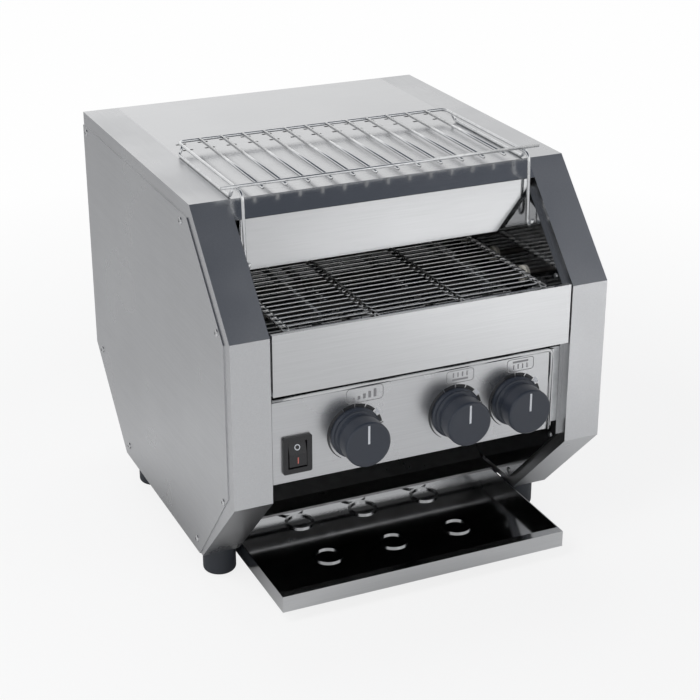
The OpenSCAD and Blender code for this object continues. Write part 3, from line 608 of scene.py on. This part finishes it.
def make_floor():
    """Pale floor that keeps a soft shadow and shows as white; reflections see it with a
    painted shade near the toaster and towards the rear.
    """
    mesh = bpy.data.meshes.new("floor")
    h = FLOOR_SIZE
    mesh.from_pydata([(-h, -h, 0), (h, -h, 0), (h, h, 0), (-h, h, 0)], [], [(0, 1, 2, 3)])
    floor = bpy.data.objects.new("floor", mesh)
    floor.location.z = -0.0002
    bpy.context.scene.collection.objects.link(floor)
    material = bpy.data.materials.new("floor")
    material.use_nodes = True
    tree = material.node_tree
    tree.nodes.clear()
    out = tree.nodes.new("ShaderNodeOutputMaterial")
    mix = tree.nodes.new("ShaderNodeMixShader")
    diffuse = tree.nodes.new("ShaderNodeBsdfDiffuse")
    glow = tree.nodes.new("ShaderNodeEmission")
    path = tree.nodes.new("ShaderNodeLightPath")
    seen = tree.nodes.new("ShaderNodeMath")
    seen.operation = "MAXIMUM"
    seen_through = tree.nodes.new("ShaderNodeMath")
    seen_through.operation = "MAXIMUM"
    share = tree.nodes.new("ShaderNodeMath")
    share.operation = "MULTIPLY"
    place = tree.nodes.new("ShaderNodeTexCoord")
    away = tree.nodes.new("ShaderNodeVectorMath")
    away.operation = "LENGTH"

    def product(first, second):
        """Both values multiplied."""
        node = tree.nodes.new("ShaderNodeMath")
        node.operation = "MULTIPLY"
        tree.links.new(first, node.inputs[0])
        tree.links.new(second, node.inputs[1])
        return node.outputs[0]

    def ramped(near, far, low, high, value=away.outputs["Value"]):
        """low to high while value, the distance in metres, goes near to far."""
        ramp = tree.nodes.new("ShaderNodeMapRange")
        ramp.inputs["From Min"].default_value = near
        ramp.inputs["From Max"].default_value = far
        ramp.inputs["To Min"].default_value = low
        ramp.inputs["To Max"].default_value = high
        tree.links.new(value, ramp.inputs["Value"])
        return ramp.outputs["Result"]

    glow.inputs["Color"].default_value = (1, 1, 1, 1)
    glow.inputs["Strength"].default_value = 1.0
    links = tree.links
    # painted shade: reflections get less floor glow within 0.27 m of the toaster and
    # towards the rear
    reflected_glow_painted_shade = tree.nodes.new("ShaderNodeMath")
    reflected_glow_painted_shade.operation = "MULTIPLY"
    links.new(place.outputs["Object"], away.inputs[0])
    parts = tree.nodes.new("ShaderNodeSeparateXYZ")
    links.new(place.outputs["Object"], parts.inputs[0])
    # painted shade: the floor that reflections see grows darker towards the rear
    painted_shade_to_rear = ramped(-0.05, 0.35, 1.0, 0.70, parts.outputs["Y"])
    links.new(product(ramped(0.20, 0.27, 0.07, 0.25), painted_shade_to_rear), reflected_glow_painted_shade.inputs[1])
    links.new(ramped(0.45, 1.10, 0.82, 0.985), share.inputs[1])
    # painted shade: the floor colour that reflections see is darker near the toaster and
    # towards the rear
    shade = tree.nodes.new("ShaderNodeMix")
    shade.inputs["A"].default_value = 0.80
    links.new(product(ramped(0.20, 0.27, 0.45, 0.86), painted_shade_to_rear), shade.inputs["B"])
    links.new(path.outputs["Is Glossy Ray"], shade.inputs["Factor"])
    links.new(shade.outputs["Result"], diffuse.inputs["Color"])
    links.new(path.outputs["Is Glossy Ray"], reflected_glow_painted_shade.inputs[0])
    links.new(path.outputs["Is Camera Ray"], seen.inputs[0])
    links.new(reflected_glow_painted_shade.outputs[0], seen.inputs[1])
    links.new(seen.outputs[0], seen_through.inputs[0])
    links.new(path.outputs["Is Transmission Ray"], seen_through.inputs[1])
    links.new(seen_through.outputs[0], share.inputs[0])
    links.new(share.outputs[0], mix.inputs["Fac"])
    links.new(diffuse.outputs[0], mix.inputs[1])
    links.new(glow.outputs[0], mix.inputs[2])
    links.new(mix.outputs[0], out.inputs["Surface"])
    mesh.materials.append(material)


def make_world():
    """White round the horizon, a blue-grey ceiling overhead."""
    world = bpy.data.worlds.new("studio")
    bpy.context.scene.world = world
    world.use_nodes = True
    tree = world.node_tree
    back = tree.nodes["Background"]
    place = tree.nodes.new("ShaderNodeTexCoord")
    split = tree.nodes.new("ShaderNodeSeparateXYZ")
    ramp = tree.nodes.new("ShaderNodeValToRGB")
    tree.links.new(place.outputs["Generated"], split.inputs[0])
    tree.links.new(split.outputs["Z"], ramp.inputs["Fac"])
    stops = ramp.color_ramp.elements
    stops[0].position = 0.50
    stops[0].color = (1.0, 1.0, 1.0, 1)
    stops[1].position = 0.74
    stops[1].color = (0.165, 0.180, 0.215, 1)
    high = stops.new(0.87)
    high.color = (0.080, 0.090, 0.110, 1)
    top = stops.new(1.0)
    top.color = (0.10, 0.11, 0.13, 1)
    ramp.color_ramp.interpolation = "EASE"
    # darker to the left, brightest ahead
    turn = tree.nodes.new("ShaderNodeMapRange")
    turn.inputs["From Min"].default_value = -1.0
    turn.inputs["From Max"].default_value = 1.0
    tree.links.new(split.outputs["X"], turn.inputs["Value"])
    across = tree.nodes.new("ShaderNodeValToRGB")
    tree.links.new(turn.outputs["Result"], across.inputs["Fac"])
    fields = across.color_ramp.elements
    fields[0].position = 0.50
    fields[0].color = (0.80, 0.80, 0.80, 1)
    fields[1].position = 1.0
    fields[1].color = (0.90, 0.90, 0.90, 1)
    for spot, value in ((0.62, 1.05), (0.69, 0.98), (0.735, 0.90)):
        fields.new(spot).color = (value, value, value, 1)
    path = tree.nodes.new("ShaderNodeLightPath")
    level = tree.nodes.new("ShaderNodeMath")
    level.operation = "MAXIMUM"
    tree.links.new(across.outputs["Color"], level.inputs[0])
    tree.links.new(path.outputs["Is Camera Ray"], level.inputs[1])
    shade = tree.nodes.new("ShaderNodeMix")
    shade.data_type = "RGBA"
    shade.inputs["B"].default_value = (1, 1, 1, 1)
    tree.links.new(path.outputs["Is Camera Ray"], shade.inputs["Factor"])
    tree.links.new(ramp.outputs["Color"], shade.inputs["A"])
    tree.links.new(shade.outputs["Result"], back.inputs["Color"])
    tree.links.new(level.outputs[0], back.inputs["Strength"])


def softbox(name, place, aim, size, watts):
    """Soft rectangular lamp that no polished face mirrors."""
    lamp = bpy.data.lights.new(name, "AREA")
    lamp.shape = "RECTANGLE"
    lamp.size, lamp.size_y = size
    lamp.energy = watts
    box = bpy.data.objects.new(name, lamp)
    box.location = place
    box.rotation_euler = (Vector(aim) - Vector(place)).to_track_quat("-Z", "Y").to_euler()
    box.visible_glossy = False
    bpy.context.scene.collection.objects.link(box)


def make_lights():
    """Two soft boxes from above and a pool of light on the floor in front."""
    softbox("key", (-0.95, -0.60, 1.30), (-0.30, 0.0, 0.1), (0.7, 0.7), 10)
    softbox("top", (0.2, 0.9, 2.3), (0.0, 0.0, 0.2), (1.6, 1.0), 12)
    lamp = bpy.data.lights.new("front_pool", "SPOT")
    lamp.energy = 62
    lamp.spot_size = math.radians(42)
    lamp.spot_blend = 0.7
    lamp.shadow_soft_size = 0.15
    pool = bpy.data.objects.new("front_pool", lamp)
    pool.location = (0.80, -1.00, 1.30)
    aim = Vector((0.64, -0.86, 0.0)) - pool.location
    pool.rotation_euler = aim.to_track_quat("-Z", "Y").to_euler()
    pool.visible_glossy = False
    bpy.context.scene.collection.objects.link(pool)


def make_camera():
    """Camera fitted to the photograph's edges, without its lens shift."""
    camera = bpy.data.cameras.new("camera")
    camera.lens = 86.57
    camera.sensor_width = 36.0
    camera.clip_start = 0.05
    view = bpy.data.objects.new("camera", camera)
    view.location = (-0.6169, -1.4079, 0.8283)
    look = Vector((0.3768, 0.8359, -0.3991))
    view.rotation_euler = look.to_track_quat("-Z", "Y").to_euler()
    bpy.context.scene.collection.objects.link(view)
    bpy.context.scene.camera = view


make_camera()
make_world()
make_floor()
make_lights()
dress_nodes()
make_belt()
make_rack()
make_panel()
for knob, spot in KNOBS.items():
    make_dial(knob, spot)
    make_pointer(knob, spot)
make_labels()
make_switch_marks()
bpy.context.scene.view_settings.view_transform = "Standard"
